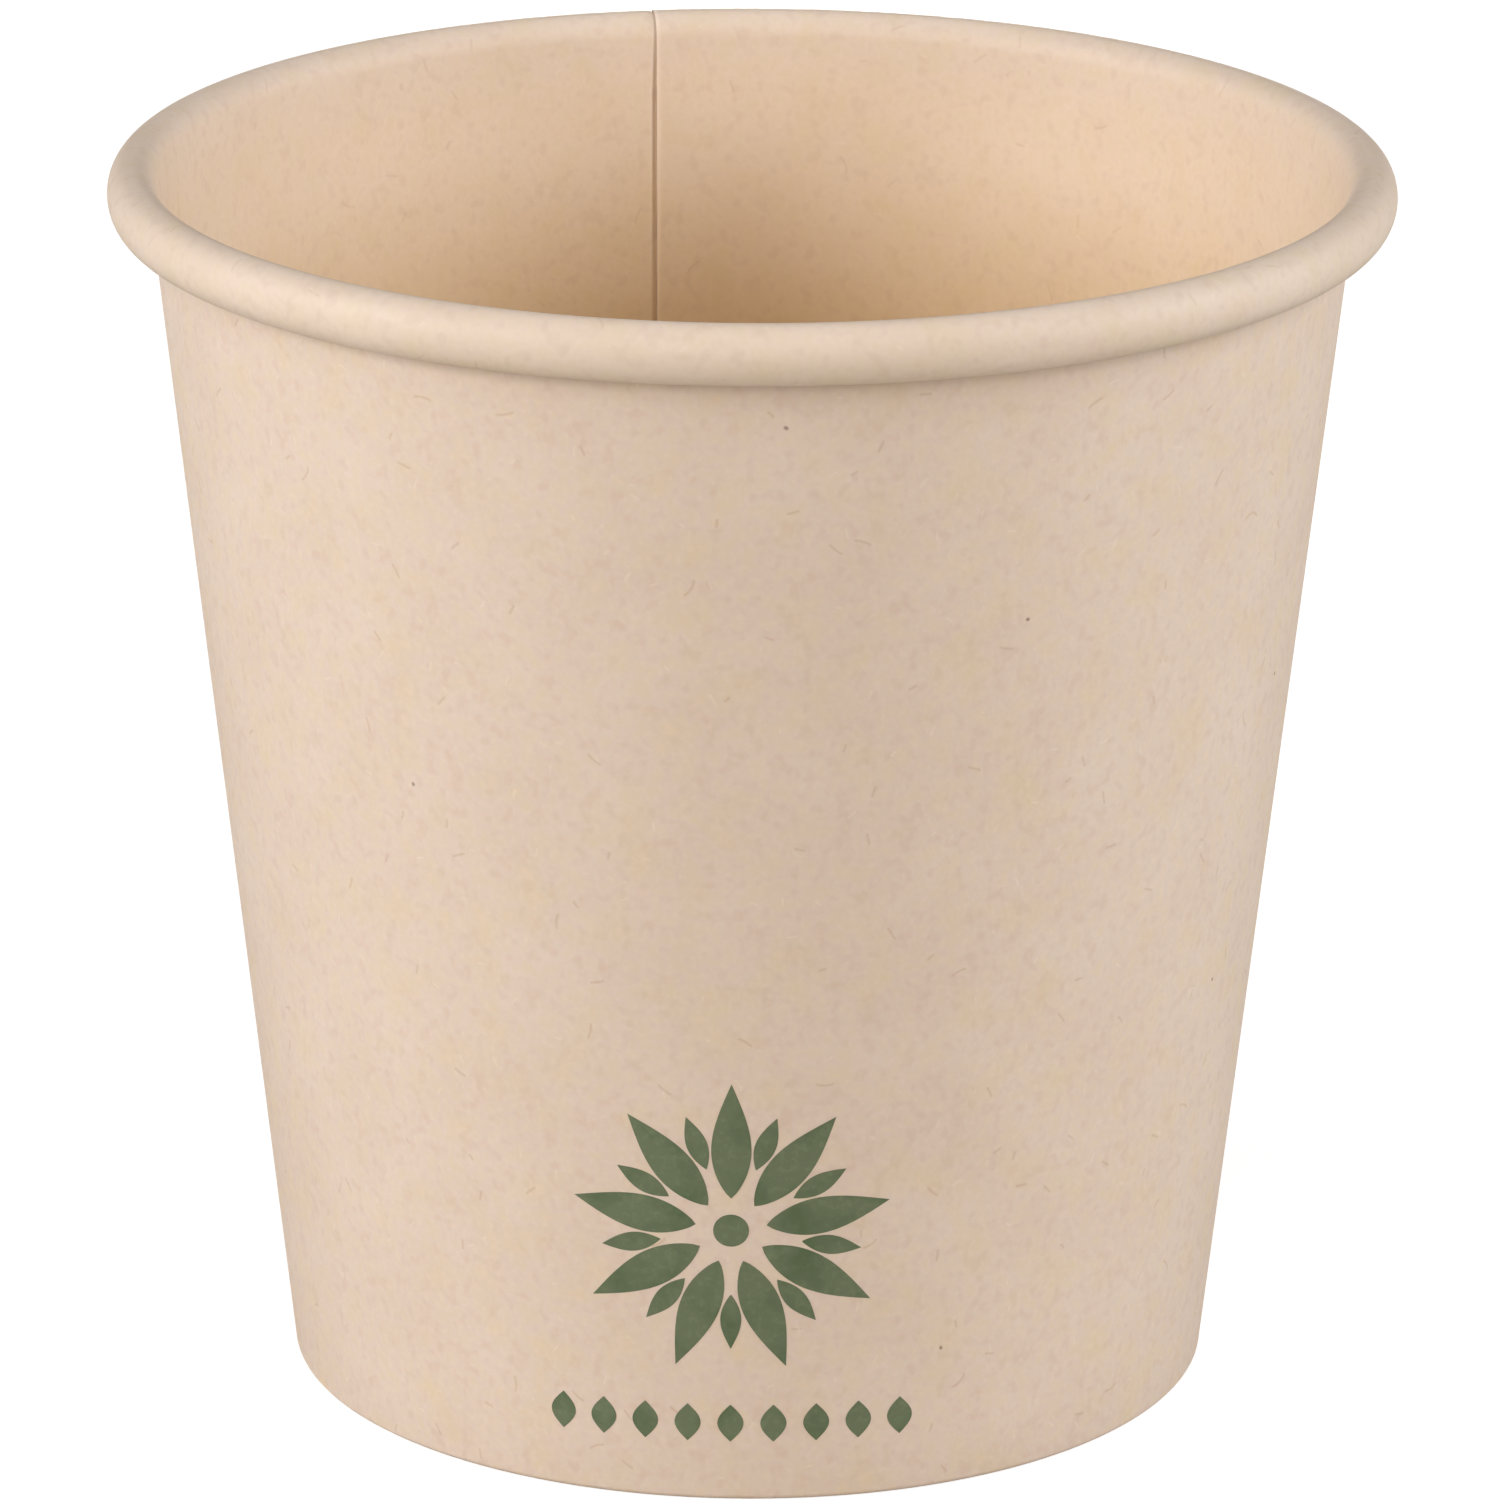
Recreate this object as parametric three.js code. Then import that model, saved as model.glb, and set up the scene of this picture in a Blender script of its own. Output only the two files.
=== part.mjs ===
// A tapered single-wall paper cup for hot drinks.
//
// One fan-shaped board is wrapped into a cone and lapped down the back. Its top edge is rolled outwards into
// the rim, and its bottom edge is folded in and up round the skirt of a dished disc, which is the floor.
// Both boards carry a liquid-tight film on the face towards the drink, which also seals the two joints.
// Millimetres, +Z up, with the origin on the axis where the cup stands.

import * as THREE from "three";

// Driving dimensions
const rimDiameter = 62; // over the rolled rim
const cupHeight = 60.4; // from the table to the top of the rim
const baseDiameter = 45; // outside of the wall, carried down to the table
const beadWidth = 2.4; // rolled rim, across
const beadHeight = 2.9; // rolled rim, top to bottom
const wallBoard = 0.35; // thickness of the wall's board
const floorBoard = 0.3; // thickness of the floor's board
const film = 0.03; // thickness of the liquid-tight film
const bond = 0.05; // clearance between two layers that are sealed to each other
const floorHeight = 6; // from the table to the drinking floor
const floorCorner = 1; // outside radius where the floor's board turns down into its skirt
const foldGap = 0.3; // from the folded-in edge of the wall up to the round of that corner
const lapWidth = 6; // overlap of the wall's two edges, halfway up
const lapClimb = 0.22; // length over which the wall climbs onto its own edge
const lapMargin = 0.03; // from that edge to where the climb ends
const seamBearing = THREE.MathUtils.degToRad(100); // inner edge of the lap, from +X towards +Y
const tuckStart = THREE.MathUtils.degToRad(262); // angle round the bead where the roll starts to tighten
const tuckFull = THREE.MathUtils.degToRad(322); // angle where the roll lies inside its own first turn
const rollEnd = THREE.MathUtils.degToRad(395); // angle where the rolled edge ends
const lapRollEnd = THREE.MathUtils.degToRad(280); // the same in the lap, where two boards fill the roll

// Number of straight steps that stand for each round form
const flats = 56; // round the cup, a multiple of four so that the box is even
const rollSteps = 3; // round each quarter of the bead, to where it starts to tighten
const tuckSteps = 4; // from there to the rolled edge
const foldSteps = 3; // round each edge of the base fold
const cornerSteps = 4; // round the floor's corner
const climbSteps = 4; // up the climb of the lap
const lapSteps = 4; // across the lap

// Sizes that follow from those
const rimRadius = rimDiameter / 2;
const baseRadius = baseDiameter / 2;
const wallLayers = wallBoard + bond + film; // the wall's board with its film
const lapPitch = wallLayers + bond; // from one turn of the wall to the next
const skirtDepth = wallLayers + bond + film + bond; // from the wall's outside to the skirt's outside
const baseStack = skirtDepth + floorBoard + bond + film + bond + wallBoard; // wall, skirt and folded edge
const floorTop = floorHeight - film - bond; // top of the floor's board
const foldTop = floorTop - floorCorner - foldGap; // top of the folded-in edge
const skirtFoot = wallLayers + lapPitch + bond; // clears the doubled fold at the lap
const bead = { r: rimRadius - beadWidth / 2, z: cupHeight - beadHeight / 2 };
const taper = wallTaper();
const flatAngle = (2 * Math.PI) / flats;
const middleRadius = (baseRadius + rimRadius) / 2;
const angleOf = (length) => length / middleRadius;

// Slope of the wall, as an angle from upright, that takes its film from the base to a tangent on the bead.
function wallTaper() {
  let slope = 0;
  for (let step = 0; step < 40; step++) {
    const reach = Math.hypot(beadWidth / 2, (beadHeight / 2) * slope);
    const inside = baseRadius - wallLayers * Math.hypot(1, slope);
    slope = (bead.r - reach - inside) / bead.z;
  }
  return Math.atan(slope);
}

// Radius at height z of a face that lies at a depth inside the wall's printed face.
function radiusAt(z, depth) {
  return baseRadius + z * Math.tan(taper) - depth / Math.cos(taper);
}

// How the wall lies at one bearing: how far it is pushed out by the layer under it, how far its base fold
// is lifted by the layer below it, and where its rolled edge ends.
const alone = { out: 0, lift: 0, end: rollEnd };
const trimmed = { out: 0, lift: 0, end: lapRollEnd };
const under = { out: 0, lift: lapPitch, end: lapRollEnd };
const over = { out: lapPitch, lift: 0, end: lapRollEnd };

function blend(from, to, share) {
  const mix = (name) => THREE.MathUtils.lerp(from[name], to[name], share);
  return { out: mix("out"), lift: mix("lift"), end: mix("end") };
}

// One face of the rolled rim, at a depth inside the printed face: an ellipse that tightens into itself.
function rollLine(depth, lay) {
  const inset = wallLayers - depth + lay.out;
  const half = { r: beadWidth / 2 - inset, z: beadHeight / 2 - inset };
  const start = Math.atan((half.z / half.r) * Math.tan(taper));
  const points = [];
  const run = (from, to, steps) => {
    for (let step = 0; step < steps; step++) add(THREE.MathUtils.lerp(from, to, step / steps));
  };
  const add = (turn) => {
    const tuck = lapPitch * THREE.MathUtils.smoothstep(turn, tuckStart, tuckFull);
    const r = bead.r - (half.r - tuck) * Math.cos(turn);
    const z = bead.z + (half.z - tuck) * Math.sin(turn);
    points.push(new THREE.Vector2(r, z));
  };
  run(start, Math.PI / 2, rollSteps);
  run(Math.PI / 2, Math.PI, rollSteps);
  run(Math.PI, tuckStart, rollSteps);
  run(tuckStart, lay.end, tuckSteps);
  add(lay.end);
  return points;
}

// One face of the base fold, from the tip of the folded-in edge, down, round and up to the wall. The board's
// printed face is round at both edges of the fold, and every face inside it is creased sharp.
function foldLine(depth, lay) {
  const floor = depth + lay.lift;
  const round = Math.max(wallBoard - depth, 0);
  const inner = baseStack - depth + lay.out;
  const outer = depth - lay.out;
  const points = [new THREE.Vector2(radiusAt(foldTop, inner), foldTop)];
  if (round === 0) {
    points.push(new THREE.Vector2(radiusAt(floor, inner), floor));
    points.push(new THREE.Vector2(radiusAt(floor, outer), floor));
    return points;
  }
  const fold = new THREE.Path();
  const height = floor + round;
  const side = round / Math.cos(taper);
  fold.absarc(radiusAt(height, inner) + side, height, round, Math.PI - taper, 1.5 * Math.PI, false);
  points.push(...fold.getPoints(foldSteps));
  const heel = new THREE.Path();
  heel.absarc(radiusAt(height, outer) - side, height, round, 1.5 * Math.PI, 2 * Math.PI - taper, false);
  points.push(...heel.getPoints(foldSteps));
  return points;
}

// Cross-section of a layer of the wall between two depths, for one way of lying.
function layerOutline(shallow, deep, lay) {
  const face = (depth) => [...foldLine(depth, lay), ...rollLine(depth, lay)];
  return [...face(shallow), ...face(deep).reverse()];
}

// Bearings round the wall, from the inner edge of the lap clockwise to its outer edge, and how the wall lies
// at each. The single wall keeps to the bearings of the floor's flats.
function wallStations() {
  const lap = angleOf(lapWidth);
  const margin = angleOf(lapMargin);
  const climb = angleOf(lapClimb);
  const turn = 2 * Math.PI;
  const stations = [];
  const run = (from, to, layFrom, layTo, steps) => {
    for (let step = 0; step < steps; step++) {
      const share = step / steps;
      const lay = blend(layFrom, layTo, THREE.MathUtils.smoothstep(share, 0, 1));
      stations.push({ angle: THREE.MathUtils.lerp(from, to, share), lay });
    }
  };
  const climbsDown = lap + margin + climb;
  const climbsUp = turn - margin - climb;
  const flatAt = (flat) => (seamBearing % flatAngle) + flat * flatAngle;
  const firstFlat = Math.ceil(climbsDown / flatAngle) + 1;
  const lastFlat = Math.floor(climbsUp / flatAngle) - 2;
  run(0, lap, under, under, lapSteps);
  run(lap, lap + margin, under, under, 1);
  run(lap + margin, climbsDown, under, trimmed, climbSteps);
  run(climbsDown, flatAt(firstFlat), trimmed, alone, climbSteps);
  run(flatAt(firstFlat), flatAt(lastFlat), alone, alone, lastFlat - firstFlat);
  run(flatAt(lastFlat), climbsUp, alone, trimmed, climbSteps);
  run(climbsUp, turn - margin, trimmed, over, climbSteps);
  run(turn - margin, turn, over, over, 1);
  run(turn, turn + lap, over, over, lapSteps);
  stations.push({ angle: turn + lap, lay: over });
  return stations;
}

// A closed skin through one outline at each station, with a cap on the first and the last.
function loftWall(shallow, deep) {
  const stations = wallStations();
  const outlines = stations.map(({ lay }) => layerOutline(shallow, deep, lay));
  const count = outlines[0].length;
  const positions = [];
  stations.forEach(({ angle }, station) => {
    const bearing = seamBearing - angle;
    for (const point of outlines[station])
      positions.push(point.x * Math.cos(bearing), point.x * Math.sin(bearing), point.y);
  });
  const faces = [];
  for (let station = 0; station + 1 < stations.length; station++)
    for (let point = 0; point < count; point++) {
      const next = (point + 1) % count;
      const here = station * count;
      const there = here + count;
      faces.push(here + point, here + next, there + next);
      faces.push(here + point, there + next, there + point);
    }
  const last = (stations.length - 1) * count;
  for (const [a, b, c] of THREE.ShapeUtils.triangulateShape(outlines[0], [])) faces.push(a, c, b);
  for (const [a, b, c] of THREE.ShapeUtils.triangulateShape(outlines.at(-1), []))
    faces.push(last + a, last + b, last + c);
  const geometry = new THREE.BufferGeometry();
  geometry.setAttribute("position", new THREE.Float32BufferAttribute(positions, 3));
  geometry.setIndex(faces);
  geometry.computeVertexNormals();
  return geometry;
}

// A layer of the floor, dished downwards: a disc that turns down into a skirt along the wall. Its upper face
// lies a distance above the floor's board, and the layer is this thick.
function turnFloor(above, thickness) {
  const top = floorTop + above;
  const centre = { z: floorTop - floorCorner };
  centre.r = radiusAt(centre.z, skirtDepth) - floorCorner / Math.cos(taper);
  const outer = floorCorner + above;
  const inner = outer - thickness;
  const depth = skirtDepth - above;
  const profile = new THREE.Path();
  profile.moveTo(0, top - thickness);
  profile.lineTo(centre.r, top - thickness);
  profile.absarc(centre.r, centre.z, inner, Math.PI / 2, -taper, true);
  profile.lineTo(radiusAt(skirtFoot, depth + thickness), skirtFoot);
  profile.lineTo(radiusAt(skirtFoot, depth), skirtFoot);
  profile.absarc(centre.r, centre.z, outer, -taper, Math.PI / 2, false);
  profile.lineTo(0, top);
  const points = profile.getPoints(cornerSteps / 2);
  const geometry = new THREE.LatheGeometry(points, flats);
  return geometry.rotateX(Math.PI / 2);
}

// Finishes, from the unbleached bamboo board and its clear film
const bambooBoard = new THREE.MeshStandardMaterial({ color: 0xdcc7b0, roughness: 0.8, metalness: 0 });
const clearFilm = new THREE.MeshStandardMaterial({ color: 0xdec2a2, roughness: 0.45, metalness: 0 });

function piece(name, geometry, material) {
  const mesh = new THREE.Mesh(geometry, material);
  mesh.name = name;
  return mesh;
}

const cup = new THREE.Group();
cup.name = "paper_cup";
cup.add(piece("sidewall", loftWall(0, wallBoard), bambooBoard));
cup.add(piece("wall_lining", loftWall(wallLayers - film, wallLayers), clearFilm));
cup.add(piece("bottom_disc", turnFloor(0, floorBoard), bambooBoard));
cup.add(piece("floor_lining", turnFloor(bond + film, film), clearFilm));

export default cup;
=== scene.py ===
import math
import bmesh
import bpy
from mathutils import Matrix, Vector


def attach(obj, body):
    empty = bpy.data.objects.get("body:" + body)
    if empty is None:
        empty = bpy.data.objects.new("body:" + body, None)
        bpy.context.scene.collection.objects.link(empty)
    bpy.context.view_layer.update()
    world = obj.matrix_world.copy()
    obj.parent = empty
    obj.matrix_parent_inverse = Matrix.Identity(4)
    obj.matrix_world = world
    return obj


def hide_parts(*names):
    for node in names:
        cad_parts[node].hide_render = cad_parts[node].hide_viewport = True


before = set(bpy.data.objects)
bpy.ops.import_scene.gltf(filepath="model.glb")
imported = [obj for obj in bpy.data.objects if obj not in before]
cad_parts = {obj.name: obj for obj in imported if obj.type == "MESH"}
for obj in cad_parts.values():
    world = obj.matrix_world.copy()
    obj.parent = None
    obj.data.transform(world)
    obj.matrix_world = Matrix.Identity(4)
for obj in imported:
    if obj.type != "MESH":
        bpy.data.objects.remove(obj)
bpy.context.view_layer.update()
mm = 0.001
print("stage: frame loaded,", len(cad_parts), "nodes")


# One node with its settings. An input is found by its name or number and takes a value, a socket,
# or a node, which gives its first output in use.
def addNode(tree, kind, inputs=None, **settings):
    node = tree.nodes.new(kind)
    for name, value in settings.items():
        setattr(node, name, value)
    for key, value in (inputs or {}).items():
        socket = next(s for i, s in enumerate(node.inputs) if s.enabled and key in (i, s.name))
        if isinstance(value, bpy.types.Node):
            value = next(s for s in value.outputs if s.enabled)
        if isinstance(value, bpy.types.NodeSocket):
            tree.links.new(value, socket)
        else:
            socket.default_value = value
    return node


# A Geometry Nodes tree with these named inputs, and their sockets
def makeTree(name, sockets):
    tree = bpy.data.node_groups.new(name, "GeometryNodeTree")
    for label, kind in sockets:
        tree.interface.new_socket(label, in_out="INPUT", socket_type="NodeSocket" + kind)
    tree.interface.new_socket("Geometry", in_out="OUTPUT", socket_type="NodeSocketGeometry")
    return tree, addNode(tree, "NodeGroupInput").outputs


# sRGB hex to the linear values that a colour socket takes
def linear(hexColour):
    parts = [int(hexColour[i:i + 2], 16) / 255 for i in (1, 3, 5)]
    return [p / 12.92 if p <= 0.04045 else ((p + 0.055) / 1.055) ** 2.4 for p in parts] + [1.0]


# Sizes of the formed boards, in mm, as the solids have them
cup = {
    "rimRadius": 31.0,  # over the rolled rim
    "height": 60.4,
    "baseRadius": 22.5,  # outside of the wall, carried down to the table
    "beadHalf": (1.2, 1.45),  # rolled rim, half across and half up
    "wallBoard": 0.35,
    "floorBoard": 0.3,
    "film": 0.03,
    "bond": 0.05,  # between two sealed layers
    "floorHeight": 6.0,
    "floorCorner": 1.0,
    "foldGap": 0.3,
    "lapWidth": 6.0,
    "lapMargin": 0.03,
    "seamBearing": math.radians(100),
    "tuck": (math.radians(262), math.radians(322)),  # where the roll tightens into itself
    "rollEnd": math.radians(395),
    "lapRollEnd": math.radians(280),  # two boards fill the roll in the lap
}
layers = cup["wallBoard"] + cup["bond"] + cup["film"]
lapPitch = layers + cup["bond"]
skirtDepth = layers + 2 * cup["bond"] + cup["film"]
baseStack = skirtDepth + cup["floorBoard"] + 2 * cup["bond"] + cup["film"] + cup["wallBoard"]
floorTop = cup["floorHeight"] - cup["film"] - cup["bond"]
foldTop = floorTop - cup["floorCorner"] - cup["foldGap"]
skirtFoot = layers + lapPitch + cup["bond"]
beadCentre = (cup["rimRadius"] - cup["beadHalf"][0], cup["height"] - cup["beadHalf"][1])
girth = (cup["rimRadius"] + cup["baseRadius"]) / 2  # radius where lengths round the wall are measured


# slope of the wall that brings its film to a tangent on the bead
def wallSlope():
    slope = 0.0
    for _ in range(40):  # more rounds than it takes to settle
        across = math.hypot(cup["beadHalf"][0], cup["beadHalf"][1] * slope)
        inside = cup["baseRadius"] - layers * math.hypot(1, slope)
        slope = (beadCentre[0] - across - inside) / beadCentre[1]
    return slope


slope = wallSlope()
slant = math.hypot(1, slope)  # distance up the wall for each unit of height
taper = math.atan(slope)


def radiusAt(z, depth):
    return cup["baseRadius"] + z * slope - depth * slant


def smoothstep(x, low, high):
    t = min(max((x - low) / (high - low), 0), 1)
    return t * t * (3 - 2 * t)


def arc(centre, radius, start, end, steps):
    angles = [start + (end - start) * i / steps for i in range(steps + 1)]
    return [(centre[0] + radius * math.cos(a), centre[1] + radius * math.sin(a)) for a in angles]


# How the wall lies at a bearing: pushed out, the same at the rim, its fold lifted, and the end of its roll
lays = {
    "alone": (0, 0, 0, cup["rollEnd"]),
    "trimmed": (0, 0, 0, cup["lapRollEnd"]),
    "under": (0, 0, lapPitch, cup["lapRollEnd"]),
    "over": (lapPitch, lapPitch, 0, cup["lapRollEnd"]),
}
sheetSteps = {
    "roll": 30,  # round the bead, to where it tightens
    "tuck": 9,  # from there to the rolled edge
    "fold": 6,  # round each edge of the base fold
    "flap": 5,  # up the folded-in edge
    "wall": 20,  # up the wall
    "knurlRise": 0.8,  # over which the knurl fades in above the fold, in mm
    "rimRise": (56.5, 59.0),  # heights between which the lap takes the form that it has at the rim
}


# One face of the wall's sheet: (radius, height, share of the knurl), folded edge first, rolled edge last
def sheetFace(depth, lay):
    out, rimOut, lift, rollEnd = lay
    bottom = depth + lift
    inner, outer = baseStack - depth + out, depth - out
    corner = max(cup["wallBoard"] - depth, 0)
    steps = sheetSteps
    low = bottom + corner
    flap = [foldTop + (low - foldTop) * i / steps["flap"] for i in range(steps["flap"] + 1)]
    points = [(radiusAt(z, inner), z, smoothstep(z, low, low + steps["knurlRise"])) for z in flap]
    if corner > 0:
        side = corner * slant
        left = (radiusAt(low, inner) + side, low)
        right = (radiusAt(low, outer) - side, low)
        turn = arc(left, corner, math.pi - taper, 1.5 * math.pi, steps["fold"])
        turn += arc(right, corner, 1.5 * math.pi, 2 * math.pi - taper, steps["fold"])
        points += [(r, z, 0) for r, z in turn[1:]]
    else:
        points += [(radiusAt(bottom, outer), bottom, 0)]
    inset = layers - depth + rimOut
    half = [h - inset for h in cup["beadHalf"]]
    start = math.atan(half[1] / half[0] * slope)
    foot, head = points[-1][1], beadCentre[1] + half[1] * math.sin(start)
    wall = [foot + (head - foot) * i / steps["wall"] for i in range(1, steps["wall"])]
    for z in wall:
        share = smoothstep(z, *steps["rimRise"])
        points.append((radiusAt(z, outer - (rimOut - out) * share), z, 0))
    for i in range(steps["roll"] + steps["tuck"] + 1):
        over = (i - steps["roll"]) / steps["tuck"]
        if over < 0:
            a = start + (cup["tuck"][0] - start) * i / steps["roll"]
        else:
            a = cup["tuck"][0] + (rollEnd - cup["tuck"][0]) * over
        tight = lapPitch * smoothstep(a, *cup["tuck"])
        r = beadCentre[0] - (half[0] - tight) * math.cos(a)
        z = beadCentre[1] + (half[1] - tight) * math.sin(a)
        points.append((r, z, 0))
    return points


# Closed outline of a layer of the wall between two depths, whose inner face may lie in a way of its own
def sheetOutline(shallow, deep, lay, innerLay=None):
    outline = sheetFace(shallow, lay) + sheetFace(deep, innerLay or lay)[::-1]
    return outline + outline[:1]


floorSteps = {"disc": 12, "corner": 8, "skirt": 4}


# Closed outline of a layer of the floor, above the floor's board by a distance
def floorOutline(above, thickness):
    steps = floorSteps
    centre = (radiusAt(floorTop - cup["floorCorner"], skirtDepth) - cup["floorCorner"] * slant,
              floorTop - cup["floorCorner"])

    def face(rise):
        radius = cup["floorCorner"] + rise
        disc = [(centre[0] * i / steps["disc"], floorTop + rise) for i in range(steps["disc"])]
        corner = arc(centre, radius, math.pi / 2, -taper, steps["corner"])
        drop = [corner[-1][1] + (skirtFoot - corner[-1][1]) * i / steps["skirt"]
                for i in range(1, steps["skirt"] + 1)]
        skirt = [(radiusAt(z, skirtDepth - rise), z) for z in drop]
        return disc + corner + skirt

    outline = face(above - thickness) + face(above)[::-1]
    return [(r, z, 0) for r, z in outline]


print("stage: outlines ready, taper", round(math.degrees(taper), 2), "degrees")


# How the boards go round the axis, lengths in mm round the girth
sweep = {
    "trimRun": 3.0,  # over which the roll loses its inner turn near the lap
    "cut": 0.004,  # over which the seal ends at the cut edge
    "climb": 0.34,  # over which the wall eases onto its own edge
    "riseRun": 1.6,  # over which the printed face starts to rise before that
    "riseShare": 0.7,  # of the lap's thickness that it has risen by then
    "sealDepth": 0.15,  # from the film's face down to the seal that fills the corner of the lap
    "rimSealDepth": 0.08,  # the same at the rim, where the die presses the lap flat
    "curl": 0.3,  # over which the inner edge of the lap curls up
    "curlRise": (0.02, 0.045),  # of the board and of its film, at that edge
    "lean": -0.016,  # of the seam, in mm for each mm of height
    "leanFrom": 54.5,  # height where the seam lies at its bearing
    "around": 400,  # columns in the single wall
    "nearLap": 14,  # columns in each stretch beside the lap
    "longStretch": 1.0,  # radians, past which a stretch is the single wall
    "floorAround": 240,  # columns in the floor
    "knurlDepth": 0.07,
    "knurlCount": 96,
    "weld": 0.0005,  # between points that become one
    "sharpEdge": math.radians(40),  # between two faces, past which their edge isn't smoothed
}
whole = 2 * math.pi
lap = cup["lapWidth"] / girth
trim = sweep["trimRun"] / girth
seat = lap + cup["lapMargin"] / girth
leave = seat + sweep["climb"] / girth
reach = whole - cup["lapMargin"] / girth
near = reach - sweep["climb"] / girth
cut = whole - sweep["cut"] / girth
curl = sweep["curl"] / girth
early = sweep["riseRun"] / girth
# each change on the way round: how the wall lies after it, and the bearings where it starts and is complete
changes = {
    "Leaving Lap": ("trimmed", leave + trim, leave),
    "Nearing Lap": ("trimmed", near - trim, near),
    "Under": ("under", leave + trim / 2, seat),
    "Curl": ("curled", curl, 0),
    "Rising": ("rising", near - early, near),
    "Over": ("sealed", near, reach),
    "Lapped": ("over", cut, whole),
}
sheetStops = (0, curl, lap, leave, leave + trim, near - trim, near - early, near, cut, whole, whole + lap)
floorStops = (lap, whole + lap)


# Bearings of the columns, close together beside the lap
def columnBearings(stops, wide):
    bearings = []
    for start, end in zip(stops, stops[1:]):
        steps = wide if end - start > sweep["longStretch"] else sweep["nearLap"]
        bearings += [start + (end - start) * i / steps for i in range(steps)]
    return bearings + [stops[-1]]


# Geometry Nodes tree that carries an outline round the axis. Each way of lying is a row of points that hold
# (radius, share of the knurl, height), and the wall passes from one to the next near its lap.
def makeSweepTree():
    sockets = [("Geometry", "Geometry"), ("Columns", "Object"), ("Around", "Int"), ("Along", "Int"),
               ("Alone", "Object")]
    for change in changes:
        sockets += [(change, "Object"), (change + " From", "Float"), (change + " To", "Float")]
    sockets += [("Seam Bearing", "Float"), ("Lean", "Float"), ("Knurl Depth", "Float"),
                ("Knurl Count", "Float"), ("Girth Radius", "Float"), ("Weld", "Float"),
                ("Material", "Material")]
    tree, given = makeTree("outlineSweep", sockets)
    grid = addNode(tree, "GeometryNodeMeshGrid",
                   {"Size X": 1.0, "Size Y": 1.0,
                    "Vertices X": given["Around"], "Vertices Y": given["Along"]})
    position = addNode(tree, "GeometryNodeInputPosition")
    flat = addNode(tree, "ShaderNodeSeparateXYZ", {0: position}).outputs
    numbers = []
    for axis, count in enumerate(("Around", "Along")):
        last = addNode(tree, "ShaderNodeMath", {0: given[count], 1: 1.0}, operation="SUBTRACT")
        ends = {"Value": flat[axis], "From Min": -0.5, "From Max": 0.5, "To Max": last}
        number = addNode(tree, "ShaderNodeMapRange", ends)
        numbers.append(addNode(tree, "FunctionNodeFloatToInt", {0: number}, rounding_mode="ROUND"))
    column, row = numbers
    columns = addNode(tree, "GeometryNodeObjectInfo", {"Object": given["Columns"]}).outputs["Geometry"]
    turned = addNode(tree, "GeometryNodeSampleIndex",
                     {"Geometry": columns, "Value": position, "Index": column}, data_type="FLOAT_VECTOR")
    angle = addNode(tree, "ShaderNodeSeparateXYZ", {0: turned}).outputs[0]
    along = addNode(tree, "GeometryNodeInputNamedAttribute", {"Name": "along"}, data_type="FLOAT")
    point = None
    for lay in ("Alone", *changes):
        outline = addNode(tree, "GeometryNodeObjectInfo", {"Object": given[lay]}).outputs["Geometry"]
        here = addNode(tree, "GeometryNodeSampleIndex",
                       {"Geometry": outline, "Value": position, "Index": row}, data_type="FLOAT_VECTOR")
        if point is None:
            point = here
            length = addNode(tree, "GeometryNodeSampleIndex",
                             {"Geometry": outline, "Value": along, "Index": row}, data_type="FLOAT")
            continue
        ends = {"Value": angle, "From Min": given[lay + " From"], "From Max": given[lay + " To"]}
        share = addNode(tree, "ShaderNodeMapRange", ends, interpolation_type="SMOOTHSTEP")
        point = addNode(tree, "ShaderNodeMix", {"Factor": share, "A": point, "B": here}, data_type="VECTOR")
    radius, knurl, height = addNode(tree, "ShaderNodeSeparateXYZ", {0: point}).outputs
    leaning = addNode(tree, "ShaderNodeMath", {0: height, 1: given["Lean"], 2: given["Seam Bearing"]},
                      operation="MULTIPLY_ADD")
    bearing = addNode(tree, "ShaderNodeMath", {0: leaning, 1: angle}, operation="SUBTRACT")
    teeth = addNode(tree, "ShaderNodeMath", {0: bearing, 1: given["Knurl Count"]}, operation="MULTIPLY")
    wave = addNode(tree, "ShaderNodeMath", {0: teeth}, operation="COSINE")
    press = addNode(tree, "ShaderNodeMapRange",
                    {"Value": wave, "From Min": -1.0, "From Max": 1.0, "To Max": given["Knurl Depth"]})
    pressed = addNode(tree, "ShaderNodeMath", {0: press, 1: knurl}, operation="MULTIPLY")
    reached = addNode(tree, "ShaderNodeMath", {0: radius, 1: pressed}, operation="SUBTRACT")
    arm = addNode(tree, "ShaderNodeCombineXYZ", {0: reached, 2: height})
    place = addNode(tree, "ShaderNodeVectorRotate", {"Vector": arm, "Angle": bearing},
                    rotation_type="Z_AXIS")
    # the place on the flat blank, which the paper's fibres follow
    across = addNode(tree, "ShaderNodeMath", {0: angle, 1: given["Girth Radius"]}, operation="MULTIPLY")
    blank = addNode(tree, "ShaderNodeCombineXYZ", {0: across, 1: length})
    stored = addNode(tree, "GeometryNodeStoreNamedAttribute",
                     {"Geometry": grid, "Name": "blankPlace", "Value": blank},
                     data_type="FLOAT_VECTOR", domain="CORNER")
    shaped = addNode(tree, "GeometryNodeSetPosition", {"Geometry": stored, "Position": place})
    joined = addNode(tree, "GeometryNodeMergeByDistance", {"Geometry": shaped, "Distance": given["Weld"]})
    smooth = addNode(tree, "GeometryNodeSetShadeSmooth", {"Geometry": joined})
    real = addNode(tree, "GeometryNodeRealizeInstances", {"Geometry": smooth})
    dressed = addNode(tree, "GeometryNodeSetMaterial", {"Geometry": real, "Material": given["Material"]})
    addNode(tree, "NodeGroupOutput", {0: dressed})
    return tree


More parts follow.
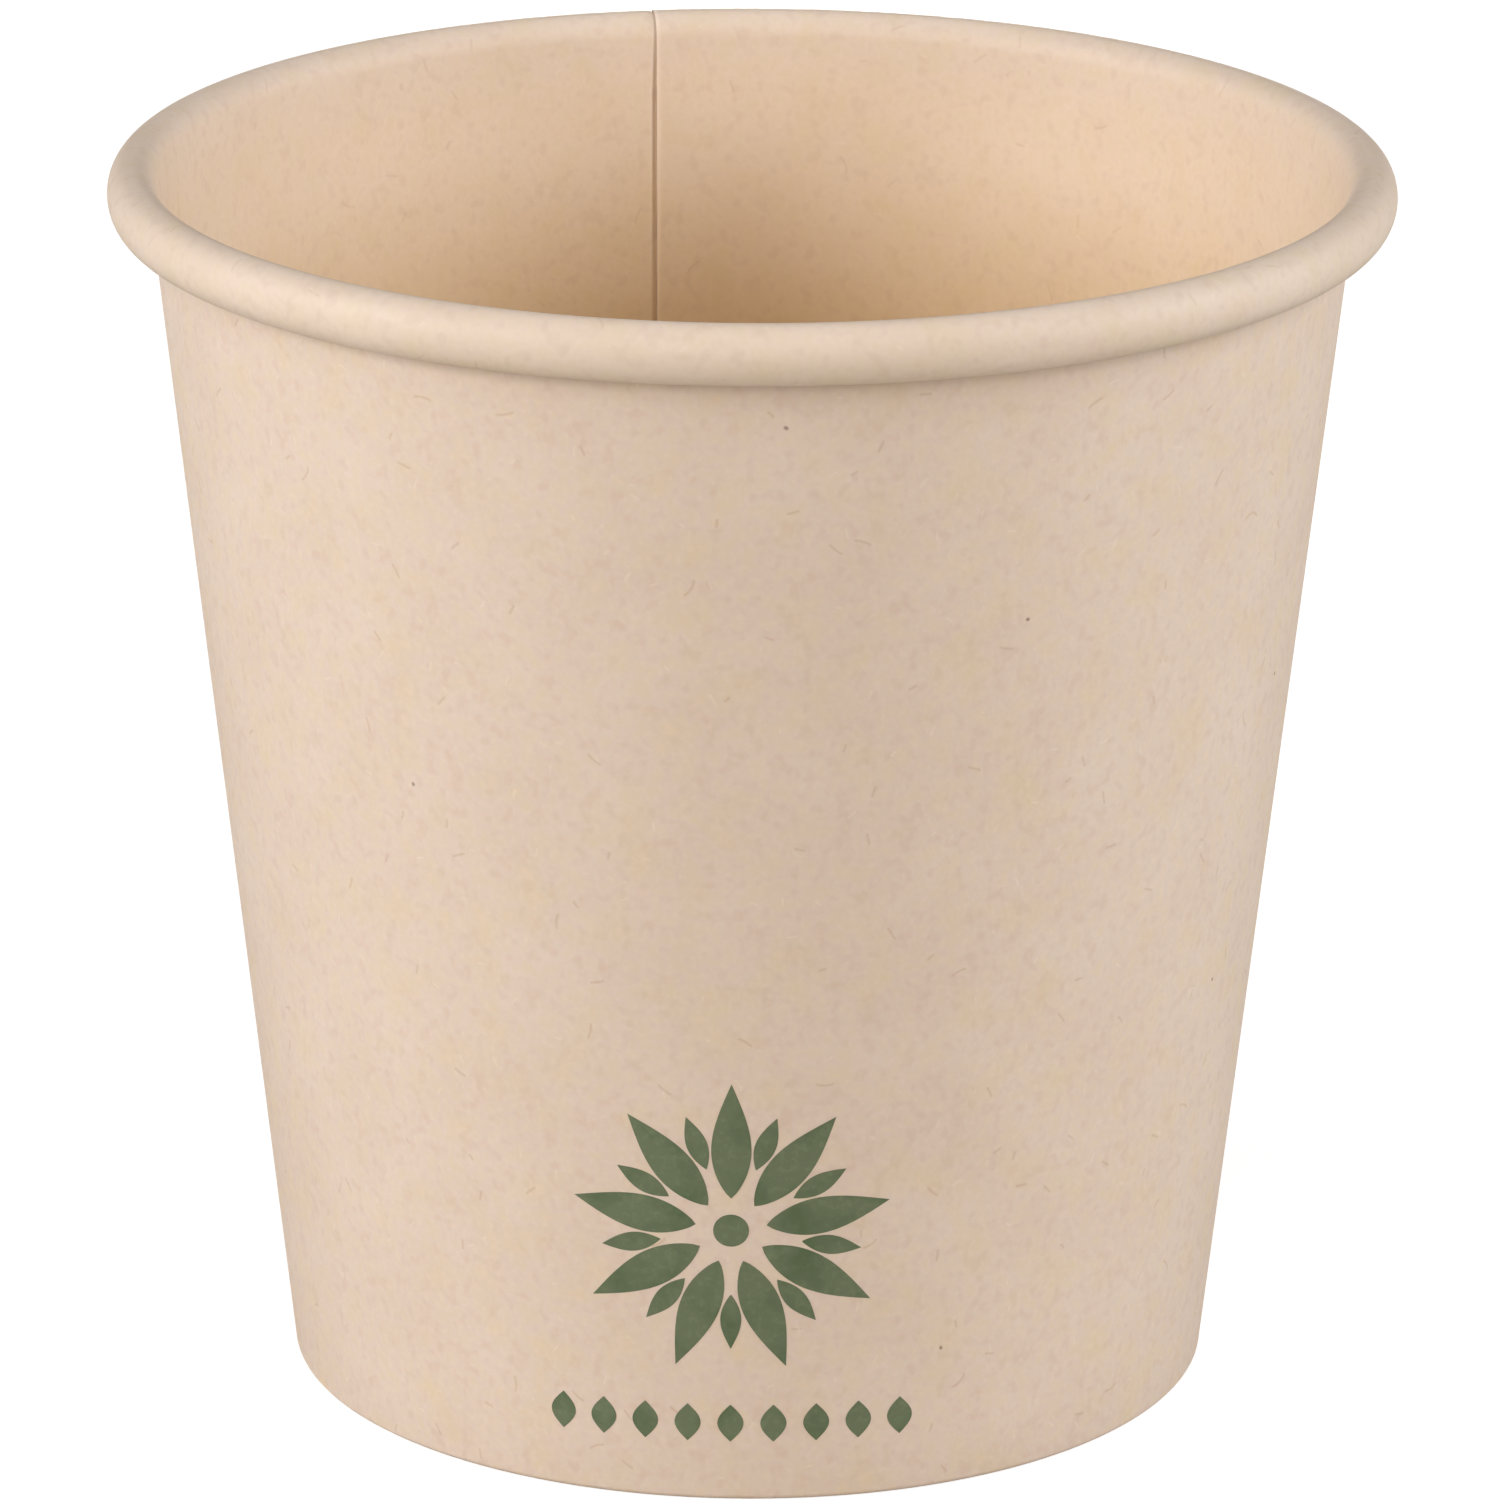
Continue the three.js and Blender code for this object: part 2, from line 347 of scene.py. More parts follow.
# A new object whose mesh is what the tree makes from these inputs
def runTree(name, tree, values):
    piece = bpy.data.objects.new(name, bpy.data.meshes.new(name))
    bpy.context.scene.collection.objects.link(piece)
    modifier = piece.modifiers.new("build", "NODES")
    modifier.node_group = tree
    for item in tree.interface.items_tree:
        if item.in_out == "INPUT" and item.name in values:
            modifier[item.identifier] = values[item.name]
    graph = bpy.context.evaluated_depsgraph_get()
    made = bpy.data.meshes.new_from_object(piece.evaluated_get(graph), preserve_all_data_layers=True,
                                           depsgraph=graph)
    piece.modifiers.clear()
    piece.data = made
    made.name = name
    return piece


# A helper object of loose points, which know their distance along the row
def pointRow(name, points):
    mesh = bpy.data.meshes.new(name)
    mesh.from_pydata(points, [], [])
    along = mesh.attributes.new("along", "FLOAT", "POINT")
    for i in range(1, len(points)):
        step = math.hypot(points[i][0] - points[i - 1][0], points[i][2] - points[i - 1][2])
        along.data[i].value = along.data[i - 1].value + step
    row = bpy.data.objects.new(name, mesh)
    bpy.context.scene.collection.objects.link(row)
    return row


sweepTree = makeSweepTree()


# One layer of the cup: its outlines by lay, swept, and capped where the blank is cut
def makeLayer(name, outlines, material, cutMaterial=None):
    rows = {}
    for lay, outline in outlines.items():
        rows[lay] = pointRow(name + lay, [(r * mm, knurl, z * mm) for r, z, knurl in outline])
    lapped = len(rows) > 1
    stops = sheetStops if lapped else floorStops
    bearings = columnBearings(stops, sweep["around"] if lapped else sweep["floorAround"])
    columns = pointRow(name + "columns", [(bearing, 0, 0) for bearing in bearings])
    lean = sweep["lean"] / girth
    values = {
        "Columns": columns, "Around": len(bearings), "Along": len(outlines["alone"]),
        "Alone": rows["alone"], "Seam Bearing": cup["seamBearing"] - lean * sweep["leanFrom"],
        "Lean": lean / mm, "Knurl Depth": sweep["knurlDepth"] * mm,
        "Knurl Count": float(sweep["knurlCount"]), "Girth Radius": girth * mm, "Weld": sweep["weld"] * mm,
        "Material": material,
    }
    for change, (lay, start, end) in changes.items():
        values.update({change: rows.get(lay, rows["alone"]), change + " From": start, change + " To": end})
    piece = runTree(name, sweepTree, values)
    mesh = bmesh.new()
    mesh.from_mesh(piece.data)
    edges = [edge for edge in mesh.edges if edge.is_boundary]
    if edges:
        for face in bmesh.ops.holes_fill(mesh, edges=edges, sides=0)["faces"]:
            face.material_index = 1
    bmesh.ops.recalc_face_normals(mesh, faces=mesh.faces)
    mesh.to_mesh(piece.data)
    mesh.free()
    if cutMaterial:
        piece.data.materials.append(cutMaterial)
    piece.data.set_sharp_from_angle(angle=sweep["sharpEdge"])
    for helper in (*rows.values(), columns):
        bpy.data.objects.remove(helper)
    return piece


# A finished piece goes on the cup's one body, in the place of its solid
def settle(piece, node=None):
    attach(piece, "root")
    if node:
        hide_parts(node)
    print("stage:", piece.name, len(piece.data.polygons), "faces")


# Unbleached bamboo board, calendered: cloudy formation, a mottle of pinkish and straw pulp, short loose
# fibres that lie every way, rare dark knots of bark, and a dry face with almost no shine. Lengths in mm.
paper = {
    "clouds": {"size": 5.0, "detail": 5.0, "from": 0.3, "to": 0.7, "least": 0.15, "most": 0.6, "aside": 0},
    "mottles": (
        {"tone": "#D8BFAD", "size": 0.7, "detail": 1.0, "from": 0.5, "to": 0.72, "most": 0.42, "aside": 11},
        {"tone": "#E3D0B2", "size": 0.7, "detail": 1.0, "from": 0.5, "to": 0.28, "most": 0.4, "aside": 11},
        {"tone": "#E2CFA9", "size": 2.2, "detail": 2.0, "from": 0.5, "to": 0.75, "most": 0.4, "aside": 53},
        {"tone": "#F6E4D6", "size": 0.35, "detail": 2.0, "from": 0.45, "to": 0.75, "most": 0.2, "aside": 37},
    ),
    # dark fibres, pale fibres and knots: a share of the cells has one. Real fibres are thinner, and these
    # are as coarse as they need to be to show.
    "marks": (
        {"tone": "#B08459", "cell": 2.8, "share": 0.25, "reach": 0.3, "width": 0.1, "bend": 0.5,
         "strength": 0.24},
        {"tone": "#F6ECDD", "cell": 2.0, "share": 0.3, "reach": 0.16, "width": 0.08, "bend": 0.5,
         "strength": 0.26},
        {"tone": "#6E4C36", "cell": 8.0, "share": 0.04, "reach": 0.02, "width": 0.13, "bend": 0.0,
         "strength": 0.7},
    ),
    "markLengths": (0.4, 1.4),  # shortest and longest, against the reach
    "markCore": 0.2,  # share of the width that is full strength
    "relief": (
        {"size": 0.9, "detail": 2.0, "weight": 1.5, "aside": 23},
        {"size": 0.22, "detail": 3.0, "weight": 1.0, "aside": 7},
    ),
    "wear": {"from": 0.3, "to": 0.7, "change": 0.06},  # of the roughness, by the finest relief
    "specular": 0.35,
    "coatRoughness": 0.48,
}


# One paper material. Its finish has its tones, the depth of its relief (tooth, in mm), and how much of the
# paper's marks and grain it shows.
def makePaper(name, finish):
    material = bpy.data.materials.new(name)
    material.use_nodes = True
    tree = material.node_tree
    shader = tree.nodes["Principled BSDF"]
    place = addNode(tree, "ShaderNodeTexCoord").outputs["Object"]
    blank = addNode(tree, "ShaderNodeAttribute", attribute_name="blankPlace").outputs["Vector"]
    colour = linear(finish["tone"])
    for mottle in ({**paper["clouds"], "tone": finish["cloud"]}, *paper["mottles"]):
        aside = (mottle["aside"] * mm,) * 3
        moved = addNode(tree, "ShaderNodeMapping", {"Vector": place, "Location": aside})
        noise = addNode(tree, "ShaderNodeTexNoise",
                        {"Vector": moved, "Scale": 1 / (mottle["size"] * mm), "Detail": mottle["detail"]})
        ends = {"Value": noise, "From Min": mottle["from"], "From Max": mottle["to"],
                "To Min": mottle.get("least", 0.0), "To Max": mottle["most"] * finish["grain"]}
        share = addNode(tree, "ShaderNodeMapRange", ends)
        colour = addNode(tree, "ShaderNodeMix", {"Factor": share, "A": colour, "B": linear(mottle["tone"])},
                         data_type="RGBA")
    # painted light: colours that grow along the radius, the height, or the distance from the blank's inner
    # edge
    parts = addNode(tree, "ShaderNodeSeparateXYZ", {0: place}).outputs
    arm = addNode(tree, "ShaderNodeCombineXYZ", {0: parts[0], 1: parts[1]})
    lengths = {
        "radius": addNode(tree, "ShaderNodeVectorMath", {0: arm}, operation="LENGTH").outputs["Value"],
        "height": parts[2],
        "edge": addNode(tree, "ShaderNodeSeparateXYZ", {0: blank}).outputs[0],
    }
    for paintedLightTint in finish["paintedLight"]:
        ends = {"Value": lengths[paintedLightTint["along"]], "From Min": paintedLightTint["from"] * mm,
                "From Max": paintedLightTint["to"] * mm}
        share = addNode(tree, "ShaderNodeMapRange", ends)
        colour = addNode(tree, "ShaderNodeMix", {"Factor": share, "A": colour, "B": linear(paintedLightTint["tone"])},
                         data_type="RGBA", blend_type=paintedLightTint["blend"])
    # each mark lies at the middle of a cell of the blank, turned by chance, and only some cells have one
    for mark in paper["marks"]:
        cells = addNode(tree, "ShaderNodeTexVoronoi", {"Vector": blank, "Scale": 1 / (mark["cell"] * mm)},
                        voronoi_dimensions="2D").outputs
        turn, kind, luck = addNode(tree, "ShaderNodeSeparateColor", {0: cells["Color"]}).outputs
        offset = addNode(tree, "ShaderNodeVectorMath", {0: blank, 1: cells["Position"]},
                         operation="SUBTRACT")
        angle = addNode(tree, "ShaderNodeMath", {0: turn, 1: whole}, operation="MULTIPLY")
        turned = addNode(tree, "ShaderNodeVectorRotate", {"Vector": offset, "Angle": angle},
                         rotation_type="Z_AXIS")
        spot = addNode(tree, "ShaderNodeSeparateXYZ", {0: turned}).outputs
        square = addNode(tree, "ShaderNodeMath", {0: spot[0], 1: spot[0]}, operation="MULTIPLY")
        bow = addNode(tree, "ShaderNodeMapRange",
                      {"Value": kind, "To Min": -mark["bend"] / mm, "To Max": mark["bend"] / mm})
        across = addNode(tree, "ShaderNodeMath", {0: square, 1: bow, 2: spot[1]}, operation="MULTIPLY_ADD")
        shortest, longest = [times * mark["reach"] * mm for times in paper["markLengths"]]
        half = addNode(tree, "ShaderNodeMapRange", {"Value": kind, "To Min": shortest, "To Max": longest})
        span = addNode(tree, "ShaderNodeMath", {0: spot[0]}, operation="ABSOLUTE")
        past = addNode(tree, "ShaderNodeMath", {0: span, 1: half}, operation="SUBTRACT")
        beyond = addNode(tree, "ShaderNodeMath", {0: past, 1: 0.0}, operation="MAXIMUM")
        away = addNode(tree, "ShaderNodeCombineXYZ", {0: beyond, 1: across})
        distance = addNode(tree, "ShaderNodeVectorMath", {0: away}, operation="LENGTH").outputs["Value"]
        width = mark["width"] * mm
        soft = addNode(tree, "ShaderNodeMapRange",
                       {"Value": distance, "From Min": paper["markCore"] * width, "From Max": width,
                        "To Min": mark["strength"] * finish["marks"], "To Max": 0.0})
        used = addNode(tree, "ShaderNodeMath", {0: luck, 1: mark["share"]}, operation="LESS_THAN")
        share = addNode(tree, "ShaderNodeMath", {0: soft, 1: used}, operation="MULTIPLY")
        colour = addNode(tree, "ShaderNodeMix", {"Factor": share, "A": colour, "B": linear(mark["tone"])},
                         data_type="RGBA")
    tree.links.new(colour.outputs[2], shader.inputs["Base Color"])
    height = 0.0
    for wave in paper["relief"]:
        aside = (wave["aside"] * mm,) * 3
        moved = addNode(tree, "ShaderNodeMapping", {"Vector": place, "Location": aside})
        noise = addNode(tree, "ShaderNodeTexNoise",
                        {"Vector": moved, "Scale": 1 / (wave["size"] * mm), "Detail": wave["detail"]})
        height = addNode(tree, "ShaderNodeMath", {0: noise, 1: wave["weight"], 2: height},
                         operation="MULTIPLY_ADD")
    bump = addNode(tree, "ShaderNodeBump",
                   {"Strength": 1.0, "Distance": finish["tooth"] * mm, "Height": height})
    tree.links.new(bump.outputs[0], shader.inputs["Normal"])
    wear = paper["wear"]
    ends = {"Value": noise, "From Min": wear["from"], "From Max": wear["to"],
            "To Min": finish["roughness"] - wear["change"], "To Max": finish["roughness"] + wear["change"]}
    worn = addNode(tree, "ShaderNodeMapRange", ends)
    tree.links.new(worn.outputs[0], shader.inputs["Roughness"])
    shader.inputs["Specular IOR Level"].default_value = paper["specular"]
    shader.inputs["Coat Weight"].default_value = finish["coat"]
    shader.inputs["Coat Roughness"].default_value = paper["coatRoughness"]
    return material


boardMaterial = makePaper("bambooBoardCalendered", {
    "tone": "#E6D6CB", "cloud": "#DCC8BA", "roughness": 0.78, "coat": 0.0, "tooth": 0.01, "marks": 1.0,
    "grain": 1.0, "paintedLight": ()})
# the same board under a melted-on film: smoother, with a soft satin light, and its fibres show less. On its
# colour
# light is painted: a painted sheen that leaves the rolled rim paler and cooler, painted bounce light that
# grows warmer from the rim down towards the floor, and a painted highlight in a pale strip at the lap's
# inner edge
filmMaterial = makePaper("bambooBoardFilmCoated", {
    "tone": "#ECDACD", "cloud": "#E4CDBB", "roughness": 0.58, "coat": 0.25, "tooth": 0.008, "marks": 0.6,
    "grain": 0.8,
    # painted highlight: a pale strip along the inner cut edge of the lap, beside the seam
    "paintedLight": ({"along": "edge", "from": 0.24, "to": 0.06, "tone": "#F4E1D3", "blend": "MIX"},
              # painted sheen: the film on the rolled rim cooler and paler, as white light reflected there;
              # painted bounce light: the film inside the rim warmer
              {"along": "radius", "from": 28.3, "to": 28.9, "tone": "#FBFDFD", "blend": "MULTIPLY"},
              {"along": "radius", "from": 28.9, "to": 28.3, "tone": "#FFFDF4", "blend": "MULTIPLY"},
              # painted bounce light: the film warmer and deeper in tone from 54 mm down to 44 mm, as light
              # bounced between the walls
              {"along": "height", "from": 54.0, "to": 44.0, "tone": "#FBF1D9", "blend": "MULTIPLY"})})
# the same board's guillotined edge, which shows its loose pale core
edgeMaterial = makePaper("bambooBoardCutEdge", {
    "tone": "#EEE0CD", "cloud": "#E6D3BD", "roughness": 0.88, "coat": 0.0, "tooth": 0.03, "marks": 1.0,
    "grain": 1.0, "paintedLight": ()})
print("stage: paper finishes ready")

wallDepths = (0, cup["wallBoard"])
filmDepths = (layers - cup["film"], layers)
sealLay = (sweep["sealDepth"], sweep["rimSealDepth"], 0, cup["lapRollEnd"])
curlLays = [(-lift, 0, lapPitch, cup["lapRollEnd"]) for lift in sweep["curlRise"]]
riseLay = (sweep["riseShare"] * lapPitch, sweep["riseShare"] * lapPitch, 0, cup["lapRollEnd"])
wallOutlines = {lay: sheetOutline(*wallDepths, how) for lay, how in lays.items()}
wallOutlines["curled"] = sheetOutline(*wallDepths, curlLays[0])
wallOutlines["rising"] = sheetOutline(*wallDepths, riseLay, lays["trimmed"])
wallOutlines["sealed"] = wallOutlines["over"]
filmOutlines = {lay: sheetOutline(*filmDepths, how) for lay, how in lays.items()}
filmOutlines["curled"] = sheetOutline(*filmDepths, curlLays[1])
filmOutlines["rising"] = filmOutlines["trimmed"]
# the melted film fills the corner where the wall climbs onto its edge
filmOutlines["sealed"] = sheetOutline(*filmDepths, lays["over"], sealLay)
settle(makeLayer("sidewall_board", wallOutlines, boardMaterial, edgeMaterial), "sidewall")
settle(makeLayer("wall_film", filmOutlines, filmMaterial, edgeMaterial), "wall_lining")
floorOutlines = {"alone": floorOutline(0, cup["floorBoard"])}
settle(makeLayer("floor_board_disc", floorOutlines, boardMaterial), "bottom_disc")
floorFilmOutlines = {"alone": floorOutline(cup["bond"] + cup["film"], cup["film"])}
settle(makeLayer("floor_film_disc", floorFilmOutlines, filmMaterial), "floor_lining")


# Printed ornament on the front: a rosette of long and short petals, and a row of lozenges under it. In mm,
# with each leaf as (length, width, fullness towards its stalk).
ornament = {
    "aside": -0.8,  # of its middle, from the front's middle
    "height": 14.4,
    "petals": 9,
    "longLeaf": (6.0, 1.9, 0.8),
    "longStart": 1.7,  # from the middle of the rosette
    "shortLeaf": (2.9, 1.0, 0.9),
    "shortStart": 3.4,
    "heart": 0.85,
    "heartPoints": 28,
    "lozenge": (2.0, 1.25, 1.0),
    "rowHeight": 4.1,
    "rowCount": 9,
    "rowPitch": 2.05,
    "proud": 0.006,  # underside of the ink, above the board
    "inkDepth": 0.006,
    "weld": 0.0001,  # between points that become one
    "leafRows": 24,
    "leafColumns": 6,
}


# A pointed leaf that starts at the origin and points along +X, fine enough to bend round the wall
def makeLeaf(name, length, width, fullness):
    rows, columns = ornament["leafRows"], ornament["leafColumns"]
    points, faces = [], []
    for i in range(rows + 1):
        half = width / 2 * math.sin(math.pi * (i / rows) ** fullness)
        for j in range(columns + 1):
            points.append((length * i / rows * mm, half * (2 * j / columns - 1) * mm, 0))
    for i in range(rows):
        for j in range(columns):
            a = i * (columns + 1) + j
            faces.append((a, a + columns + 1, a + columns + 2, a + 1))
    mesh = bpy.data.meshes.new(name)
    mesh.from_pydata(points, [], faces)
    leaf = bpy.data.objects.new(name, mesh)
    bpy.context.scene.collection.objects.link(leaf)
    return leaf


# Geometry Nodes tree that lays the ornament out flat, with its top along +X, and bends it onto the wall
def makeOrnamentTree():
    tree, given = makeTree("printedOrnament", [
        ("Geometry", "Geometry"), ("Long Leaf", "Object"), ("Short Leaf", "Object"), ("Lozenge", "Object"),
        ("Petals", "Int"), ("Long Start", "Float"), ("Short Start", "Float"), ("Heart", "Float"),
        ("Heart Points", "Int"), ("Row Count", "Int"), ("Row Start", "Vector"), ("Row Step", "Vector"),
        ("Aside", "Float"), ("Height", "Float"), ("Rise", "Float"), ("Slope", "Float"),
        ("Base Radius", "Float"), ("Ink Depth", "Float"), ("Weld", "Float"), ("Material", "Material")])
    join = addNode(tree, "GeometryNodeJoinGeometry")
    index = addNode(tree, "GeometryNodeInputIndex")
    position = addNode(tree, "GeometryNodeInputPosition")
    outward = addNode(tree, "FunctionNodeAlignRotationToVector", {"Vector": position}, axis="X",
                      pivot_axis="Z")
    places = addNode(tree, "FunctionNodeIntegerMath", {0: given["Petals"], 1: 2}, operation="MULTIPLY")
    # long and short leaves take turns round the heart
    for leaf, first in (("Long", 1), ("Short", 0)):
        ring = addNode(tree, "GeometryNodeMeshCircle",
                       {"Vertices": places, "Radius": given[leaf + " Start"]})
        shifted = addNode(tree, "FunctionNodeIntegerMath", {0: index, 1: first}, operation="ADD")
        taken = addNode(tree, "FunctionNodeIntegerMath", {0: shifted, 1: 2}, operation="MODULO")
        source = given[leaf + " Leaf"]
        shape = addNode(tree, "GeometryNodeObjectInfo", {"Object": source}).outputs["Geometry"]
        leaves = addNode(tree, "GeometryNodeInstanceOnPoints",
                         {"Points": ring, "Selection": taken, "Instance": shape, "Rotation": outward})
        tree.links.new(leaves.outputs[0], join.inputs[0])
    heart = addNode(tree, "GeometryNodeMeshCircle",
                    {"Vertices": given["Heart Points"], "Radius": given["Heart"]}, fill_type="TRIANGLE_FAN")
    tree.links.new(heart.outputs[0], join.inputs[0])
    row = addNode(tree, "GeometryNodeMeshLine",
                  {"Count": given["Row Count"], "Start Location": given["Row Start"],
                   "Offset": given["Row Step"]})
    shape = addNode(tree, "GeometryNodeObjectInfo", {"Object": given["Lozenge"]}).outputs["Geometry"]
    lozenges = addNode(tree, "GeometryNodeInstanceOnPoints", {"Points": row, "Instance": shape})
    tree.links.new(lozenges.outputs[0], join.inputs[0])
    real = addNode(tree, "GeometryNodeRealizeInstances", {"Geometry": join})
    welded = addNode(tree, "GeometryNodeMergeByDistance", {"Geometry": real, "Distance": given["Weld"]})
    up, left, _ = addNode(tree, "ShaderNodeSeparateXYZ", {0: position}).outputs
    height = addNode(tree, "ShaderNodeMath", {0: up, 1: given["Rise"], 2: given["Height"]},
                     operation="MULTIPLY_ADD")
    radius = addNode(tree, "ShaderNodeMath", {0: height, 1: given["Slope"], 2: given["Base Radius"]},
                     operation="MULTIPLY_ADD")
    right = addNode(tree, "ShaderNodeMath", {0: given["Aside"], 1: left}, operation="SUBTRACT")
    swing = addNode(tree, "ShaderNodeMath", {0: right, 1: radius}, operation="DIVIDE")
    bearing = addNode(tree, "ShaderNodeMath", {0: swing, 1: math.pi / 2}, operation="SUBTRACT")
    arm = addNode(tree, "ShaderNodeCombineXYZ", {0: radius, 2: height})
    place = addNode(tree, "ShaderNodeVectorRotate", {"Vector": arm, "Angle": bearing},
                    rotation_type="Z_AXIS")
    bent = addNode(tree, "GeometryNodeSetPosition", {"Geometry": welded, "Position": place})
    thick = addNode(tree, "GeometryNodeExtrudeMesh",
                    {"Mesh": bent, "Offset Scale": given["Ink Depth"], "Individual": False})
    back = addNode(tree, "GeometryNodeFlipFaces", {"Mesh": bent})
    both = addNode(tree, "GeometryNodeJoinGeometry", {0: thick})
    tree.links.new(back.outputs[0], both.inputs[0])
    closed = addNode(tree, "GeometryNodeMergeByDistance", {"Geometry": both, "Distance": given["Weld"]})
    final = addNode(tree, "GeometryNodeRealizeInstances", {"Geometry": closed})
    inked = addNode(tree, "GeometryNodeSetMaterial", {"Geometry": final, "Material": given["Material"]})
    addNode(tree, "NodeGroupOutput", {0: inked})
    return tree


# Water-based ink laid by a rubber plate: even matt green that the board's fibres break up a little
ink = {
    "tone": "#6B785E",
    "roughness": 0.69,
    "specular": 0.35,
    "wear": {"from": 0.3, "to": 0.7, "change": 0.07},
    "detail": 3.0,
    "spots": ({"tone": "#7F8E6E", "size": 0.35, "from": 0.5, "to": 0.75, "most": 0.5},
              {"tone": "#4C6243", "size": 1.8, "from": 0.45, "to": 0.7, "most": 0.6}),
}


def makeInk():
    material = bpy.data.materials.new("greenInkFlexoPrinted")
    material.use_nodes = True
    tree = material.node_tree
    shader = tree.nodes["Principled BSDF"]
    place = addNode(tree, "ShaderNodeTexCoord").outputs["Object"]
    colour = linear(ink["tone"])
    for spot in ink["spots"]:
        noise = addNode(tree, "ShaderNodeTexNoise",
                        {"Vector": place, "Scale": 1 / (spot["size"] * mm), "Detail": ink["detail"]})
        ends = {"Value": noise, "From Min": spot["from"], "From Max": spot["to"], "To Max": spot["most"]}
        share = addNode(tree, "ShaderNodeMapRange", ends)
        colour = addNode(tree, "ShaderNodeMix", {"Factor": share, "A": colour, "B": linear(spot["tone"])},
                         data_type="RGBA")
    tree.links.new(colour.outputs[2], shader.inputs["Base Color"])
    wear = ink["wear"]
    ends = {"Value": noise, "From Min": wear["from"], "From Max": wear["to"],
            "To Min": ink["roughness"] - wear["change"], "To Max": ink["roughness"] + wear["change"]}
    worn = addNode(tree, "ShaderNodeMapRange", ends)
    tree.links.new(worn.outputs[0], shader.inputs["Roughness"])
    shader.inputs["Specular IOR Level"].default_value = ink["specular"]
    return material


def makeOrnament():
    long = makeLeaf("longLeaf", *ornament["longLeaf"])
    short = makeLeaf("shortLeaf", *ornament["shortLeaf"])
    lozenge = makeLeaf("lozenge", *ornament["lozenge"])
    low = ornament["rowHeight"] - ornament["height"] - ornament["lozenge"][0] / 2
    side = -ornament["rowPitch"] * (ornament["rowCount"] - 1) / 2
    piece = runTree("printed_ornament", makeOrnamentTree(), {
        "Long Leaf": long, "Short Leaf": short, "Lozenge": lozenge, "Petals": ornament["petals"],
        "Long Start": ornament["longStart"] * mm, "Short Start": ornament["shortStart"] * mm,
        "Heart": ornament["heart"] * mm, "Heart Points": ornament["heartPoints"],
        "Row Count": ornament["rowCount"], "Row Start": (low * mm, side * mm, 0.0),
        "Row Step": (0.0, ornament["rowPitch"] * mm, 0.0), "Aside": ornament["aside"] * mm,
        "Height": ornament["height"] * mm, "Rise": 1 / slant, "Slope": slope,
        "Base Radius": (cup["baseRadius"] + ornament["proud"]) * mm,
        "Ink Depth": ornament["inkDepth"] * mm, "Weld": ornament["weld"] * mm, "Material": makeInk(),
    })
    for leaf in (long, short, lozenge):
        bpy.data.objects.remove(leaf)
    return piece


settle(makeOrnament())


# White table and background: white to the camera, and the table still takes the cup's shadow
stage = {
    "tableSide": 3.0,  # from its middle, in metres
    "tableTone": "#A5A5A5",  # as the camera sees it
    "tableGlow": 0.79,  # added for the camera
    "bounceTone": "#C0BDB5",  # as it lights the cup
    "tableRoughness": 0.9,
    "worldLight": 0.14,
    "worldTilt": (0.1, -0.8, 0.0),  # more of that light comes from the camera's side
    "worldTone": "#FFF3E2",
    "white": "#FFFFFF",
}


def makeTable():
    mesh = bpy.data.meshes.new("table")
    side = stage["tableSide"]
    corners = [(-side, -side, 0), (side, -side, 0), (side, side, 0), (-side, side, 0)]
    mesh.from_pydata(corners, [], [(0, 1, 2, 3)])
    table = bpy.data.objects.new("table", mesh)
    bpy.context.scene.collection.objects.link(table)
    material = bpy.data.materials.new("whitePaintedTable")
    material.use_nodes = True
    tree = material.node_tree
    shader = tree.nodes["Principled BSDF"]
    shader.inputs["Roughness"].default_value = stage["tableRoughness"]
    shader.inputs["Emission Color"].default_value = linear(stage["white"])
    seen = addNode(tree, "ShaderNodeLightPath").outputs["Is Camera Ray"]
    tone = addNode(tree, "ShaderNodeMix", {"Factor": seen, "A": linear(stage["bounceTone"]),
                                           "B": linear(stage["tableTone"])}, data_type="RGBA")
    tree.links.new(tone.outputs[2], shader.inputs["Base Color"])
    glow = addNode(tree, "ShaderNodeMath", {0: seen, 1: stage["tableGlow"]}, operation="MULTIPLY")
    tree.links.new(glow.outputs[0], shader.inputs["Emission Strength"])
    mesh.materials.append(material)


def makeWorld():
    world = bpy.data.worlds.new("studio")
    bpy.context.scene.world = world
    world.use_nodes = True
    tree = world.node_tree
    seen = addNode(tree, "ShaderNodeLightPath").outputs["Is Camera Ray"]
    way = addNode(tree, "ShaderNodeTexCoord").outputs["Generated"]
    toward = addNode(tree, "ShaderNodeVectorMath", {0: way, 1: stage["worldTilt"]}, operation="DOT_PRODUCT")
    even = stage["worldLight"]
    light = addNode(tree, "ShaderNodeMath", {0: toward.outputs["Value"], 1: even, 2: even},
                    operation="MULTIPLY_ADD", use_clamp=True)
    strength = addNode(tree, "ShaderNodeMix", {"Factor": seen, "A": light, "B": 1.0})
    tree.links.new(strength.outputs[0], tree.nodes["Background"].inputs["Strength"])
    tone = addNode(tree, "ShaderNodeMix",
                   {"Factor": seen, "A": linear(stage["worldTone"]), "B": linear(stage["white"])},
                   data_type="RGBA")
    tree.links.new(tone.outputs[2], tree.nodes["Background"].inputs["Color"])


